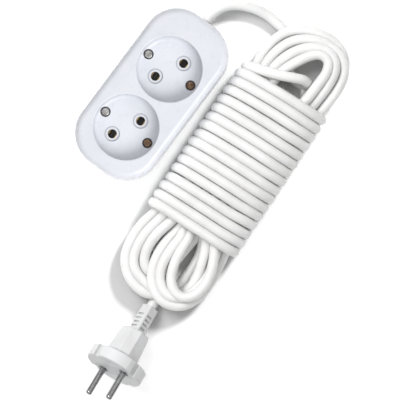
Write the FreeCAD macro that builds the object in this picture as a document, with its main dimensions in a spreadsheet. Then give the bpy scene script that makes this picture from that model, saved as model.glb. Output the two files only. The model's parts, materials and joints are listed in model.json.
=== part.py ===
import FreeCAD, Part

# Two-gang extension cord without earth contacts: a socket block, its hank of round cord and a
# moulded two-pin plug. Origin at the bottom centre of the block, +Y towards the cord's exit,
# +Z up, millimetres.

import math
import os

import Sketcher

Vector = FreeCAD.Vector
Z_AXIS = Vector(0, 0, 1)

DIMENSIONS = (
    # how far an added feature grows into its neighbour, and a cut runs past the face it opens
    ("overlap", 0.5),
    ("overshoot", 1.0),
    ("cutter_depth", 6.0),
    # socket block
    ("block_width", 56.0),
    ("block_length", 112.4),
    ("block_height", 34.0),
    ("corner_radius", 22.0),
    ("split_height", 10.0),
    ("draft_angle", 2.0),
    ("top_round", 4.0),
    ("foot_round", 1.2),
    ("shell_wall", 2.2),
    ("top_wall", 2.4),
    ("base_floor", 2.4),
    ("lip_gap", 0.2),
    ("lip_wall", 1.0),
    ("lip_height", 1.6),
    # socket wells
    ("well_radius", 20.0),
    ("well_depth", 10.0),
    ("well_pitch", 44.0),
    ("well_shift", 3.6),
    ("well_round", 2.5),
    ("rim_round", 0.8),
    ("pin_spacing", 19.0),
    ("pin_line_angle", 29.0),
    ("pin_hole_radius", 2.8),
    ("collar_radius", 4.7),
    ("collar_depth", 1.0),
    # screws
    ("screw_offset", 16.0),
    ("screw_recess_radius", 3.2),
    ("screw_recess_depth", 1.6),
    ("screw_hole_radius", 1.6),
    ("screw_radius", 1.5),
    ("screw_length", 17.2),
    ("screw_head_radius", 2.5),
    ("screw_head_height", 1.6),
    ("small_head_radius", 2.4),
    ("small_head_height", 1.4),
    ("head_dome", 0.5),
    ("slot_width", 0.7),
    ("slot_depth", 0.8),
    ("cross_reach", 1.3),
    ("cross_width", 0.6),
    ("cross_depth", 1.0),
    ("cross_rim_radius", 1.5),
    ("cross_rim_depth", 0.3),
    ("boss_radius", 3.7),
    ("boss_height", 12.0),
    ("boss_hole_floor", 2.0),
    # contacts
    ("strip_thickness", 0.8),
    ("strip_height", 8.0),
    ("strip_bottom", 7.0),
    ("strip_front", 38.6),
    ("clip_gap", 4.2),
    ("clip_thickness", 0.6),
    ("clip_height", 10.0),
    ("clip_front", 5.6),
    ("clip_back", 3.4),
    ("rivet_radius", 1.0),
    ("rivet_head_radius", 1.5),
    ("rivet_head_height", 0.5),
    ("rivet_offset", 4.0),
    ("rivet_hole_reach", 2.0),
    ("post_width", 4.0),
    ("post_length", 3.0),
    ("post_height", 9.0),
    ("terminal_width", 5.0),
    ("terminal_length", 6.0),
    ("terminal_height", 9.0),
    ("terminal_bore", 1.3),
    ("terminal_bore_height", 3.0),
    ("core_in_terminal", 1.4),
    ("core_straight", 2.4),
    ("wire_stop", 0.6),
    ("terminal_screw_radius", 1.5),
    ("terminal_screw_length", 5.2),
    # cord and its clamp
    ("cord_radius", 3.1),
    ("core_radius", 1.25),
    ("core_offset", 1.4),
    ("wire_radius", 0.7),
    ("sheath_inset", 10.4),
    ("entry_gap", 0.6),
    ("entry_radius", 3.2),
    ("clamp_length", 6.0),
    ("clamp_width", 23.0),
    ("clamp_thickness", 2.4),
    ("clamp_inset", 7.4),
    ("clamp_gap", 0.6),
    ("clamp_round", 0.8),
    ("clamp_hole_floor", 1.0),
    ("clamp_screw_offset", 8.2),
    ("clamp_screw_length", 8.0),
    # hank
    ("hank_x", 68.8),
    ("hank_y", -3.6),
    ("hank_angle", 3.1),
    ("hank_length", 198.8),
    ("hank_width", 57.0),
    ("hank_height", 18.6),
    ("hank_round", 6.0),
    ("hank_end_flat", 0.5),
    ("wrap_length", 106.0),
    ("wrap_width", 65.0),
    ("wrap_height", 25.0),
    ("wrap_shift", 2.5),
    ("wrap_side_shift", 0.5),
    ("wrap_round", 8.0),
    ("channel_radius", 3.3),
    ("tail_first_run", 5.0),
    # plug
    ("plug_x", 82.8),
    ("plug_y", -149.8),
    ("plug_tilt", 18.0),
    ("plug_heading", 6.0),
    ("plug_roll", 51.0),
    ("floor_gap", 0.1),
    ("flange_radius", 18.5),
    ("flange_thickness", 7.5),
    ("flange_round", 1.0),
    ("cone_height", 3.2),
    ("cone_radius", 10.6),
    ("guide_flat_depth", 1.0),
    ("guide_groove_width", 4.6),
    ("guide_groove_depth", 3.0),
    ("clip_notch_width", 4.2),
    ("clip_notch_depth", 1.8),
    ("grip_length", 17.4),
    ("grip_front_wide", 21.0),
    ("grip_front_thick", 18.0),
    ("grip_back_wide", 18.6),
    ("grip_back_thick", 15.6),
    ("grip_chamfer", 4.4),
    ("grip_round", 1.2),
    ("relief_length", 18.3),
    ("relief_side", 8.4),
    ("relief_round", 1.6),
    ("relief_slot", 1.4),
    ("relief_slot_depth", 1.15),
    ("relief_pitch", 2.9),
    ("relief_first_slot", 2.2),
    ("relief_rail", 1.9),
    ("plug_pin_radius", 2.0),
    ("plug_pin_length", 19.0),
    ("plug_pin_root", 5.2),
    ("plug_pin_root_radius", 2.4),
    ("pin_tip_round", 1.3),
    ("bridge_radius", 6.0),
    ("bridge_depth", 5.0),
    ("pin_seat_radius", 3.1),
    ("pin_seat_depth", 0.5),
    ("crimp_radius", 2.3),
    ("crimp_length", 2.6),
    ("plug_sheath_start", 25.0),
    ("crimp_lead", 2.0),
    ("core_spread", 6.0),
)

RELIEF_SLOTS = 4
WELL_SIDES = (1, -1)
SCREW_SIDES = (1, -1)

# places along the block of the posts that hold each busbar, clear of its clips
LINE_POSTS = (-6.0, 7.0, 19.0)
NEUTRAL_POSTS = (-22.0, -6.0, 24.0)

# route of the cord from the block to the hank, in the part's frame
LEAD_ROUTE = (
    (0.0, 56.2, 10.0),
    (1.1, 62.1, 9.8),
    (4.1, 67.6, 9.1),
    (8.8, 72.4, 8.0),
    (15.2, 76.6, 6.6),
    (23.5, 79.6, 5.2),
    (32.3, 81.2, 4.1),
    (41.2, 81.2, 3.5),
)

# the cord's last steps into the hank, counted from the end of its straight run out of the plug
TAIL_STEPS = (
    (-0.9, 6.4, 0.2),
    (-1.6, 12.4, 0.0),
)

# share of a route's shorter leg that each tangent arc takes, and how well a tube's volume must fit
ARC_SHARE = 0.45
VOLUME_TOLERANCE = 0.01

# how near an edge's height or radius must come to be the one that's meant
NEAR = 0.02

doc = FreeCAD.newDocument("ExtensionCord")
sheet = doc.addObject("Spreadsheet::Sheet", "Size")
parts = []


def fill_sheet():
    """Write every driving dimension into the sheet under its own alias."""
    for row, (alias, value) in enumerate(DIMENSIONS, start=1):
        sheet.set(f"A{row}", alias)
        sheet.set(f"B{row}", str(value))
        sheet.setAlias(f"B{row}", alias)
    doc.recompute()


def size(alias):
    """A driving dimension as a number."""
    return float(sheet.get(alias))


def worked_out(expression):
    """The value of an expression over the sheet."""
    value = sheet.evalExpression(expression)
    return float(getattr(value, "Value", value))


# ---------------------------------------------------------------- helpers for bodies


def new_body(label, placement=None):
    body = doc.addObject("PartDesign::Body", label)
    body.Label = label
    if placement is not None:
        body.Placement = placement
    return body


def keep(body):
    """Hand this object in as a sub-part of its own."""
    parts.append(body)
    return body


def origin_plane(body, role):
    return next(f for f in body.Origin.OriginFeatures if f.Role == role)


def bind(feature, **expressions):
    for name, expression in expressions.items():
        feature.setExpression(name, expression)


def move(feature, at, turn=None):
    """Put a primitive at a place given by three expressions, turned first if asked."""
    if turn is not None:
        feature.Placement = FreeCAD.Placement(Vector(), turn)
    for letter, expression in zip("xyz", at):
        feature.setExpression(f"Placement.Base.{letter}", expression)


ALONG_X = FreeCAD.Rotation(Vector(0, 1, 0), 90)
ALONG_Y = FreeCAD.Rotation(Vector(1, 0, 0), -90)


def cylinder(body, name, kind, radius, height, at=("0", "0", "0"), turn=None):
    """A PartDesign cylinder, Additive or Subtractive, from its base centre."""
    feature = body.newObject(f"PartDesign::{kind}Cylinder", name)
    bind(feature, Radius=radius, Height=height)
    move(feature, at, turn)
    doc.recompute()


def box(body, name, kind, wide, long, high, at, turn=None):
    """A PartDesign box, Additive or Subtractive, from its lowest corner."""
    feature = body.newObject(f"PartDesign::{kind}Box", name)
    bind(feature, Length=wide, Width=long, Height=high)
    move(feature, at, turn)
    doc.recompute()


def sketch_on(body, name, height):
    """An empty sketch on the body's XY plane, lifted to a height."""
    sketch = body.newObject("Sketcher::SketchObject", name)
    sketch.AttachmentSupport = [(origin_plane(body, "XY_Plane"), "")]
    sketch.MapMode = "FlatFace"
    sketch.setExpression("AttachmentOffset.Base.z", height)
    return sketch


def rounded_rectangle(sketch, wide, long, radius):
    """Four lines and four tangent arcs, centred, fully constrained to expressions."""
    half_x = worked_out(wide) / 2
    half_y = worked_out(long) / 2
    corner = worked_out(radius)
    in_x = half_x - corner
    in_y = half_y - corner
    corners = ((in_x, in_y), (-in_x, in_y), (-in_x, -in_y), (in_x, -in_y))
    for quarter, (x, y) in enumerate(corners):
        circle = Part.Circle(Vector(x, y, 0), Z_AXIS, corner)
        start = quarter * math.pi / 2
        sketch.addGeometry(Part.ArcOfCircle(circle, start, start + math.pi / 2))
    ends = (
        (Vector(in_x, half_y, 0), Vector(-in_x, half_y, 0)),
        (Vector(-half_x, in_y, 0), Vector(-half_x, -in_y, 0)),
        (Vector(-in_x, -half_y, 0), Vector(in_x, -half_y, 0)),
        (Vector(half_x, -in_y, 0), Vector(half_x, in_y, 0)),
    )
    for start, end in ends:
        sketch.addGeometry(Part.LineSegment(start, end))
    for side in range(4):
        sketch.addConstraint(Sketcher.Constraint("Tangent", side, 2, side + 4, 1))
        sketch.addConstraint(Sketcher.Constraint("Tangent", side + 4, 2, (side + 1) % 4, 1))
    for side, kind in ((4, "Horizontal"), (5, "Vertical"), (6, "Horizontal"), (7, "Vertical")):
        sketch.addConstraint(Sketcher.Constraint(kind, side))
    for arc in (1, 2, 3):
        sketch.addConstraint(Sketcher.Constraint("Equal", 0, arc))
    sketch.addConstraint(Sketcher.Constraint("Symmetric", 0, 3, 2, 3, -1, 1))
    driven = (
        (Sketcher.Constraint("DistanceX", 5, 1, 7, 1, 2 * half_x), wide),
        (Sketcher.Constraint("DistanceY", 6, 1, 4, 1, 2 * half_y), long),
        (Sketcher.Constraint("Radius", 0, corner), radius),
    )
    for constraint, expression in driven:
        number = sketch.addConstraint(constraint)
        sketch.setExpression(f"Constraints[{number}]", expression)
    doc.recompute()


def extrude(body, name, kind, sketch, length, down=False, taper=None):
    """Pad or Pocket a sketch by a length, upwards unless it is told down."""
    feature = body.newObject(f"PartDesign::{kind}", name)
    feature.Profile = sketch
    feature.setExpression("Length", length)
    # a Pocket runs against its sketch's normal by default, a Pad along it
    feature.Reversed = down if kind == "Pad" else not down
    if taper is not None:
        feature.setExpression("TaperAngle", taper)
    body.Tip = feature
    doc.recompute()


def dress(body, name, kind, amount, chosen):
    """Fillet or Chamfer the edges of the body's tip that chosen(edge) picks."""
    base = body.Tip
    names = [f"Edge{n}" for n, edge in enumerate(base.Shape.Edges, 1) if chosen(edge)]
    if not names:
        raise RuntimeError(f"{body.Label}: {name} found no edges")
    feature = body.newObject(f"PartDesign::{kind}", name)
    feature.Base = (base, names)
    feature.setExpression("Radius" if kind == "Fillet" else "Size", amount)
    body.Tip = feature
    doc.recompute()


def lies_at(height):
    """Picks the edges that lie flat at this height."""
    return lambda edge: (
        abs(edge.BoundBox.ZMin - height) < NEAR and abs(edge.BoundBox.ZMax - height) < NEAR
    )


def circle_at(height, radius):
    """Picks the flat circular edges of one radius at one height."""
    flat = lies_at(height)

    def chosen(edge):
        curve = edge.Curve
        return (
            flat(edge)
            and isinstance(curve, Part.Circle)
            and abs(curve.Radius - radius) < NEAR
        )

    return chosen


# ---------------------------------------------------------------- where things stand


def well_y(side):
    return f"{side} * Size.well_pitch / 2 - Size.well_shift"


def pin_xy(side, end):
    """Centre of a pin hole: side picks the well, end the hole's end of the pin line."""
    along = f"{end} * Size.pin_spacing / 2"
    x = f"{along} * sin(Size.pin_line_angle * 1 deg)"
    y = f"{well_y(side)} + {along} * cos(Size.pin_line_angle * 1 deg)"
    return x, y


FLOOR_OF_WELL = "Size.block_height - Size.well_depth"
UNDER_WELL = "Size.block_height - Size.well_depth - Size.top_wall"


def strip_x(end):
    """Inner face of a busbar: it stands beside the pins on its own side."""
    reach = "Size.pin_spacing / 2 * sin(Size.pin_line_angle * 1 deg)"
    return f"{end} * ({reach} + Size.clip_gap / 2 + Size.clip_thickness)"


def from_side(inner, thickness, end):
    """Lowest x of something that grows outwards from an inner face."""
    return inner if end > 0 else f"{inner} - {thickness}"


# ---------------------------------------------------------------- socket block shells


def make_cover():
    body = keep(new_body("top_cover"))
    outline = sketch_on(body, "CoverOutline", "Size.split_height")
    rounded_rectangle(outline, "Size.block_width", "Size.block_length", "Size.corner_radius")
    rise = "Size.block_height - Size.split_height"
    extrude(body, "CoverPad", "Pad", outline, rise, taper="-Size.draft_angle * 1 deg")
    top = size("block_height")
    dress(body, "TopRound", "Fillet", "Size.top_round", lies_at(top))
    hollow = sketch_on(body, "CoverHollow", "Size.split_height")
    thin = "2 * Size.shell_wall"
    rounded_rectangle(
        hollow,
        f"Size.block_width - {thin}",
        f"Size.block_length - {thin}",
        "Size.corner_radius - Size.shell_wall",
    )
    inside = "Size.block_height - Size.split_height - Size.top_wall"
    extrude(body, "CoverPocket", "Pocket", hollow, inside, taper="-Size.draft_angle * 1 deg")
    for side in WELL_SIDES:
        cut_well(body, side)
    rim = size("block_height")
    radius = size("well_radius")
    dress(body, "RimRound", "Fillet", "Size.rim_round", circle_at(rim, radius))
    floor = worked_out(FLOOR_OF_WELL)
    dress(body, "WellRound", "Fillet", "Size.well_round", circle_at(floor, radius))
    for side in WELL_SIDES:
        cut_holes(body, side)
    cut_cord_entry(body, "CoverEntry")


def cut_well(body, side):
    """A cup that hangs into the cover, and the round well in it."""
    letter = "A" if side > 0 else "B"
    y = well_y(side)
    cup = "Size.well_radius + Size.shell_wall"
    height = "Size.well_depth + Size.top_wall - Size.overlap"
    cylinder(body, f"Cup{letter}", "Additive", cup, height, ("0", y, UNDER_WELL))
    for number, x_side in enumerate(SCREW_SIDES):
        x = f"{x_side} * Size.screw_offset"
        start = "Size.boss_height"
        rise = f"{UNDER_WELL} + Size.overlap - Size.boss_height"
        name = f"Pillar{letter}{number}"
        cylinder(body, name, "Additive", "Size.boss_radius", rise, (x, y, start))
    deep = "Size.well_depth + Size.overshoot"
    place = ("0", y, FLOOR_OF_WELL)
    cylinder(body, f"Well{letter}", "Subtractive", "Size.well_radius", deep, place)


def cut_holes(body, side):
    """Pin holes with their sunk collars, and the screws' recesses and holes."""
    letter = "A" if side > 0 else "B"
    for number, end in enumerate((1, -1)):
        x, y = pin_xy(side, end)
        low = f"{UNDER_WELL} - Size.overshoot"
        through = "Size.top_wall + 2 * Size.overshoot"
        name = f"PinHole{letter}{number}"
        cylinder(body, name, "Subtractive", "Size.pin_hole_radius", through, (x, y, low))
        collar = f"{FLOOR_OF_WELL} - Size.collar_depth"
        name = f"Collar{letter}{number}"
        deep = "Size.collar_depth + Size.overshoot"
        cylinder(body, name, "Subtractive", "Size.collar_radius", deep, (x, y, collar))
    for number, x_side in enumerate(SCREW_SIDES):
        x = f"{x_side} * Size.screw_offset"
        y = well_y(side)
        low = "Size.boss_height - Size.overshoot"
        name = f"ScrewHole{letter}{number}"
        through = f"{FLOOR_OF_WELL} + 2 * Size.overshoot - Size.boss_height"
        cylinder(body, name, "Subtractive", "Size.screw_hole_radius", through, (x, y, low))
        seat = f"{FLOOR_OF_WELL} - Size.screw_recess_depth"
        name = f"Recess{letter}{number}"
        radius = "Size.screw_recess_radius"
        deep = "Size.screw_recess_depth + 2 * Size.overshoot"
        cylinder(body, name, "Subtractive", radius, deep, (x, y, seat))


def cut_cord_entry(body, name):
    """The round cord entry at the split, half in each shell."""
    start = "Size.block_length / 2 - 2 * Size.shell_wall"
    place = ("0", start, "Size.split_height")
    cylinder(body, name, "Subtractive", "Size.entry_radius", "4 * Size.shell_wall", place, ALONG_Y)


def make_base():
    body = keep(new_body("base_plate"))
    outline = sketch_on(body, "BaseOutline", "0")
    rounded_rectangle(outline, "Size.block_width", "Size.block_length", "Size.corner_radius")
    extrude(body, "BasePad", "Pad", outline, "Size.split_height")
    dress(body, "FootRound", "Fillet", "Size.foot_round", lies_at(0.0))
    inset = "2 * (Size.shell_wall + Size.lip_gap)"
    lip = sketch_on(body, "LipOutline", "Size.split_height - Size.overlap")
    rounded_rectangle(
        lip,
        f"Size.block_width - {inset}",
        f"Size.block_length - {inset}",
        "Size.corner_radius - Size.shell_wall - Size.lip_gap",
    )
    extrude(body, "LipPad", "Pad", lip, "Size.lip_height + Size.overlap")
    deeper = "2 * (Size.shell_wall + Size.lip_gap + Size.lip_wall)"
    hollow = sketch_on(body, "BaseHollow", "Size.base_floor")
    rounded_rectangle(
        hollow,
        f"Size.block_width - {deeper}",
        f"Size.block_length - {deeper}",
        "Size.corner_radius - Size.shell_wall - Size.lip_gap - Size.lip_wall",
    )
    extrude(body, "BasePocket", "Pocket", hollow, "Size.split_height + Size.lip_height")
    add_bosses(body)
    add_busbar_posts(body)
    add_clamp_saddle(body)
    cut_cord_entry(body, "BaseEntry")


def add_bosses(body):
    """A boss with a blind screw hole under each cover pillar."""
    for side in WELL_SIDES:
        for number, x_side in enumerate(SCREW_SIDES):
            letter = "A" if side > 0 else "B"
            x = f"{x_side} * Size.screw_offset"
            y = well_y(side)
            rise = "Size.boss_height - Size.base_floor + Size.overlap"
            low = "Size.base_floor - Size.overlap"
            name = f"Boss{letter}{number}"
            cylinder(body, name, "Additive", "Size.boss_radius", rise, (x, y, low))
            name = f"BossHole{letter}{number}"
            start = "Size.base_floor + Size.boss_hole_floor"
            deep = f"Size.boss_height + Size.overshoot - ({start})"
            cylinder(body, name, "Subtractive", "Size.screw_hole_radius", deep, (x, y, start))


def add_busbar_posts(body):
    """Slotted posts that hold each busbar on edge."""
    for end, label, places in ((1, "Line", LINE_POSTS), (-1, "Neutral", NEUTRAL_POSTS)):
        inner = strip_x(end)
        middle = f"{inner} + {end} * Size.strip_thickness / 2"
        for number, y in enumerate(places):
            at = (
                f"{middle} - Size.post_width / 2",
                f"{y} - Size.post_length / 2",
                "Size.base_floor - Size.overlap",
            )
            high = "Size.post_height - Size.base_floor + Size.overlap"
            name = f"Post{label}{number}"
            box(body, name, "Additive", "Size.post_width", "Size.post_length", high, at)
            slot_at = (
                from_side(inner, "Size.strip_thickness", end),
                f"{y} - Size.post_length",
                "Size.strip_bottom",
            )
            name = f"Slot{label}{number}"
            wide = "Size.strip_thickness"
            box(body, name, "Subtractive", wide, "2 * Size.post_length", "Size.post_height", slot_at)


def clamp_y():
    """Middle of the cord clamp along the block."""
    return "Size.block_length / 2 - Size.clamp_inset"


def add_clamp_saddle(body):
    """A saddle under the cord, with a blind hole on each side for the clamp's screws."""
    start = "Size.base_floor - Size.overlap"
    at = (
        "-Size.clamp_width / 2",
        f"{clamp_y()} - Size.clamp_length / 2",
        start,
    )
    high = "Size.split_height - Size.base_floor + Size.overlap"
    box(body, "Saddle", "Additive", "Size.clamp_width", "Size.clamp_length", high, at)
    groove = ("0", f"{clamp_y()} - Size.clamp_length", "Size.split_height")
    length = "2 * Size.clamp_length"
    cylinder(body, "SaddleGroove", "Subtractive", "Size.cord_radius", length, groove, ALONG_Y)
    for number, side in enumerate(SCREW_SIDES):
        place = (
            f"{side} * Size.clamp_screw_offset",
            clamp_y(),
            "Size.base_floor + Size.clamp_hole_floor",
        )
        name = f"ClampHole{number}"
        cylinder(body, name, "Subtractive", "Size.screw_radius", "Size.split_height", place)


# ---------------------------------------------------------------- screws


def screw(body, name, shank, length, head, head_height, at, drive):
    """A pan-head screw, pointing down, at the underside of its head, with its drive cut in."""
    x, y, z = at
    tip = (x, y, f"{z} - ({length})")
    cylinder(body, f"{name}Shank", "Additive", shank, f"{length} + Size.overlap", tip)
    cylinder(body, f"{name}Head", "Additive", head, head_height, (x, y, z))
    drive(body, name, head, head_height, at)


def slot(body, name, head, head_height, at):
    """A straight slot across the whole head."""
    x, y, z = at
    slot_at = (
        f"{x} - ({head}) - Size.overshoot",
        f"{y} - Size.slot_width / 2",
        f"{z} + {head_height} - Size.slot_depth",
    )
    long = f"2 * ({head} + Size.overshoot)"
    box(body, f"{name}Slot", "Subtractive", long, "Size.slot_width", "2 * Size.slot_depth", slot_at)


def cross(body, name, head, head_height, at):
    """A cross in a shallow round seat, both clear of the head's rim."""
    x, y, z = at
    top = f"{z} + {head_height}"
    seat = (x, y, f"{top} - Size.cross_rim_depth")
    deep = "Size.cross_rim_depth + Size.overshoot"
    cylinder(body, f"{name}Seat", "Subtractive", "Size.cross_rim_radius", deep, seat)
    long = "2 * Size.cross_reach"
    wide = "Size.cross_width"
    low = f"{top} - Size.cross_depth"
    high = "Size.cross_depth + Size.overshoot"
    at_x = (f"{x} - Size.cross_reach", f"{y} - {wide} / 2", low)
    box(body, f"{name}CrossX", "Subtractive", long, wide, high, at_x)
    at_y = (f"{x} - {wide} / 2", f"{y} - Size.cross_reach", low)
    box(body, f"{name}CrossY", "Subtractive", wide, long, high, at_y)


def screw_group(label, screws, shank, length, head, head_height, drive=slot):
    """Identical screws as separate solids of one node."""
    made = []
    for number, at in enumerate(screws):
        body = new_body(f"{label}_{number + 1}")
        screw(body, f"{label}{number}", shank, length, head, head_height, at, drive)
        top = worked_out(f"{at[2]} + {head_height}")
        radius = worked_out(head)
        dress(body, f"{label}{number}Dome", "Fillet", "Size.head_dome", circle_at(top, radius))
        made.append(body)
    group(label, made)


def group(label, bodies):
    """Separate solids kept together as one compound node."""
    compound = doc.addObject("Part::Compound", label)
    compound.Label = label
    compound.Links = bodies
    doc.recompute()
    return keep(compound)


def make_cover_screws():
    seat = f"{FLOOR_OF_WELL} - Size.screw_recess_depth"
    places = [
        (f"{x_side} * Size.screw_offset", well_y(side), seat)
        for side in WELL_SIDES
        for x_side in SCREW_SIDES
    ]
    screw_group(
        "cover_screws",
        places,
        "Size.screw_radius",
        "Size.screw_length",
        "Size.screw_head_radius",
        "Size.screw_head_height",
        cross,
    )


# ---------------------------------------------------------------- contacts


def make_busbar(label, end):
    """A strip on edge that joins one pole's contact in each well to its terminal."""
    body = keep(new_body(label))
    inner = strip_x(end)
    back = f"{pin_xy(-1, end)[1]} - Size.clip_back"
    at = (from_side(inner, "Size.strip_thickness", end), back, "Size.strip_bottom")
    long = f"Size.strip_front - ({back})"
    box(body, f"{label}Strip", "Additive", "Size.strip_thickness", long, "Size.strip_height", at)
    for side in WELL_SIDES:
        letter = "A" if side > 0 else "B"
        place = (f"{inner} - Size.rivet_hole_reach", rivet_y(side, end), rivet_z())
        name = f"{label}Rivet{letter}"
        long = "2 * Size.rivet_hole_reach"
        cylinder(body, name, "Subtractive", "Size.rivet_radius", long, place, ALONG_X)


def rivet_y(side, end):
    return f"{pin_xy(side, end)[1]} + Size.rivet_offset"


def rivet_z():
    return "Size.strip_bottom + Size.strip_height / 2"


def make_clips(label, end):
    """Folded spring clips, one per well, each open towards the cord's end."""
    made = []
    for side in WELL_SIDES:
        letter = "A" if side > 0 else "B"
        body = new_body(f"{label}_{letter}")
        x, y = pin_xy(side, end)
        wide = "Size.clip_gap + 2 * Size.clip_thickness"
        at = (
            f"{x} - ({wide}) / 2",
            f"{y} - Size.clip_back",
            "Size.strip_bottom",
        )
        long = "Size.clip_back + Size.clip_front"
        box(body, f"{label}{letter}Block", "Additive", wide, long, "Size.clip_height", at)
        inner_at = (
            f"{x} - Size.clip_gap / 2",
            f"{y} - Size.clip_back + Size.clip_thickness",
            "Size.strip_bottom - Size.overshoot",
        )
        deep = "Size.clip_height + 2 * Size.overshoot"
        box(body, f"{label}{letter}Gap", "Subtractive", "Size.clip_gap", long, deep, inner_at)
        place = (f"{strip_x(end)} - Size.rivet_hole_reach", rivet_y(side, end), rivet_z())
        name = f"{label}{letter}Hole"
        reach = "2 * Size.rivet_hole_reach"
        cylinder(body, name, "Subtractive", "Size.rivet_radius", reach, place, ALONG_X)
        made.append(body)
    group(label, made)


def make_rivets():
    """Rivets that hold each clip's outer leaf to its busbar."""
    made = []
    for end, pole in ((1, "Line"), (-1, "Neutral")):
        for side in WELL_SIDES:
            letter = "A" if side > 0 else "B"
            body = new_body(f"rivet_{pole}_{letter}")
            stack = "Size.clip_thickness + Size.strip_thickness"
            inner = strip_x(end)
            low = f"{inner} - Size.clip_thickness" if end > 0 else f"{inner} - Size.strip_thickness"
            y = rivet_y(side, end)
            head = "Size.rivet_head_height"
            name = f"Rivet{pole}{letter}"
            at = (f"{low} - {head}", y, rivet_z())
            long = f"{stack} + 2 * {head}"
            cylinder(body, f"{name}Shank", "Additive", "Size.rivet_radius", long, at, ALONG_X)
            cylinder(body, f"{name}Inner", "Additive", "Size.rivet_head_radius", head, at, ALONG_X)
            far = (f"{low} + {stack}", y, rivet_z())
            cylinder(body, f"{name}Outer", "Additive", "Size.rivet_head_radius", head, far, ALONG_X)
            made.append(body)
    group("clip_rivets", made)


def terminal_x(end):
    """Middle of a terminal: it lies against the inner face of its busbar."""
    return f"{strip_x(end)} - {end} * Size.terminal_width / 2"


def make_terminal(label, end):
    """A brass block with a wire bore and a tapped hole down into it."""
    body = keep(new_body(label))
    x = terminal_x(end)
    at = (
        f"{x} - Size.terminal_width / 2",
        "Size.strip_front - Size.terminal_length",
        "Size.strip_bottom",
    )
    sizes = ("Size.terminal_width", "Size.terminal_length", "Size.terminal_height")
    box(body, f"{label}Block", "Additive", *sizes, at)
    start = "Size.strip_front - Size.terminal_length - Size.overshoot"
    bore_at = (x, start, terminal_bore_z())
    long = "Size.terminal_length + 2 * Size.overshoot"
    cylinder(body, f"{label}Bore", "Subtractive", "Size.terminal_bore", long, bore_at, ALONG_Y)
    tap_at = (x, "Size.strip_front - Size.terminal_length / 2", terminal_bore_z())
    high = "Size.terminal_height"
    cylinder(body, f"{label}Tap", "Subtractive", "Size.terminal_screw_radius", high, tap_at)


def terminal_bore_z():
    return "Size.strip_bottom + Size.terminal_bore_height"


def make_terminal_screws():
    top = "Size.strip_bottom + Size.terminal_height"
    places = [
        (terminal_x(end), "Size.strip_front - Size.terminal_length / 2", top) for end in (1, -1)
    ]
    screw_group(
        "terminal_screws",
        places,
        "Size.terminal_screw_radius",
        "Size.terminal_screw_length",
        "Size.small_head_radius",
        "Size.small_head_height",
    )


# ---------------------------------------------------------------- cord clamp


def make_clamp_bar():
    body = keep(new_body("clamp_bar"))
    at = (
        "-Size.clamp_width / 2",
        f"{clamp_y()} - Size.clamp_length / 2",
        "Size.split_height + Size.clamp_gap",
    )
    high = "Size.cord_radius + Size.clamp_thickness - Size.clamp_gap"
    box(body, "BarBlock", "Additive", "Size.clamp_width", "Size.clamp_length", high, at)
    dress(body, "BarRound", "Fillet", "Size.clamp_round", lies_at(worked_out(clamp_top())))
    groove = ("0", f"{clamp_y()} - Size.clamp_length", "Size.split_height")
    length = "2 * Size.clamp_length"
    cylinder(body, "BarGroove", "Subtractive", "Size.cord_radius", length, groove, ALONG_Y)
    for number, side in enumerate(SCREW_SIDES):
        name = f"BarHole{number}"
        place = (f"{side} * Size.clamp_screw_offset", clamp_y(), "Size.split_height")
        high = "Size.split_height"
        cylinder(body, name, "Subtractive", "Size.screw_hole_radius", high, place)


def clamp_top():
    return "Size.split_height + Size.cord_radius + Size.clamp_thickness"


def make_clamp_screws():
    places = [(f"{side} * Size.clamp_screw_offset", clamp_y(), clamp_top()) for side in SCREW_SIDES]
    screw_group(
        "clamp_screws",
        places,
        "Size.screw_radius",
        "Size.clamp_screw_length",
        "Size.small_head_radius",
        "Size.small_head_height",
    )


# ---------------------------------------------------------------- tubes along a route


def rounded_path(points):
    """Straight runs joined by tangent arcs, as one wire, and the arcs' radii."""
    edges = []
    radii = []
    at = points[0]
    for before, corner, after in zip(points, points[1:], points[2:]):
        back = before - corner
        ahead = after - corner
        turn = math.pi - back.getAngle(ahead)
        trim = ARC_SHARE * min(back.Length, ahead.Length)
        radius = trim / math.tan(turn / 2)
        start = corner + back.normalize() * trim
        end = corner + ahead.normalize() * trim
        inward = (back + ahead).normalize()
        centre = corner + inward * (radius / math.cos(turn / 2))
        middle = centre - inward * radius
        edges.append(Part.LineSegment(at, start).toShape())
        edges.append(Part.Arc(start, middle, end).toShape())
        radii.append(radius)
        at = end
    edges.append(Part.LineSegment(at, points[-1]).toShape())
    return Part.Wire(edges), radii


def swept_tube(points, radius):
    """A round solid along a route; its volume is compared with section times length."""
    path, radii = rounded_path(points)
    direction = points[1] - points[0]
    profile = Part.Wire([Part.makeCircle(radius, points[0], direction)])
    solid = path.makePipeShell([profile], True, False)
    expected = math.pi * radius * radius * path.Length
    if abs(solid.Volume - expected) > VOLUME_TOLERANCE * expected:
        raise RuntimeError(f"a tube holds {solid.Volume:.1f} mm3 instead of {expected:.1f}")
    return solid, radii, path.Length


def tube_part(label, points, radius_alias, placement=None):
    """A tube as a sub-part of its own."""
    solid, radii, length = swept_tube([Vector(*p) for p in points], size(radius_alias))
    feature = doc.addObject("Part::Feature", label)
    feature.Label = label
    feature.Shape = solid
    if placement is not None:
        feature.Placement = placement
    listed = ", ".join(f"{r:.1f}" for r in radii)
    print(f"{label}: length {length:.1f} mm, radii {listed} mm")
    return keep(feature)


# ---------------------------------------------------------------- cord inside the block


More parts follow.
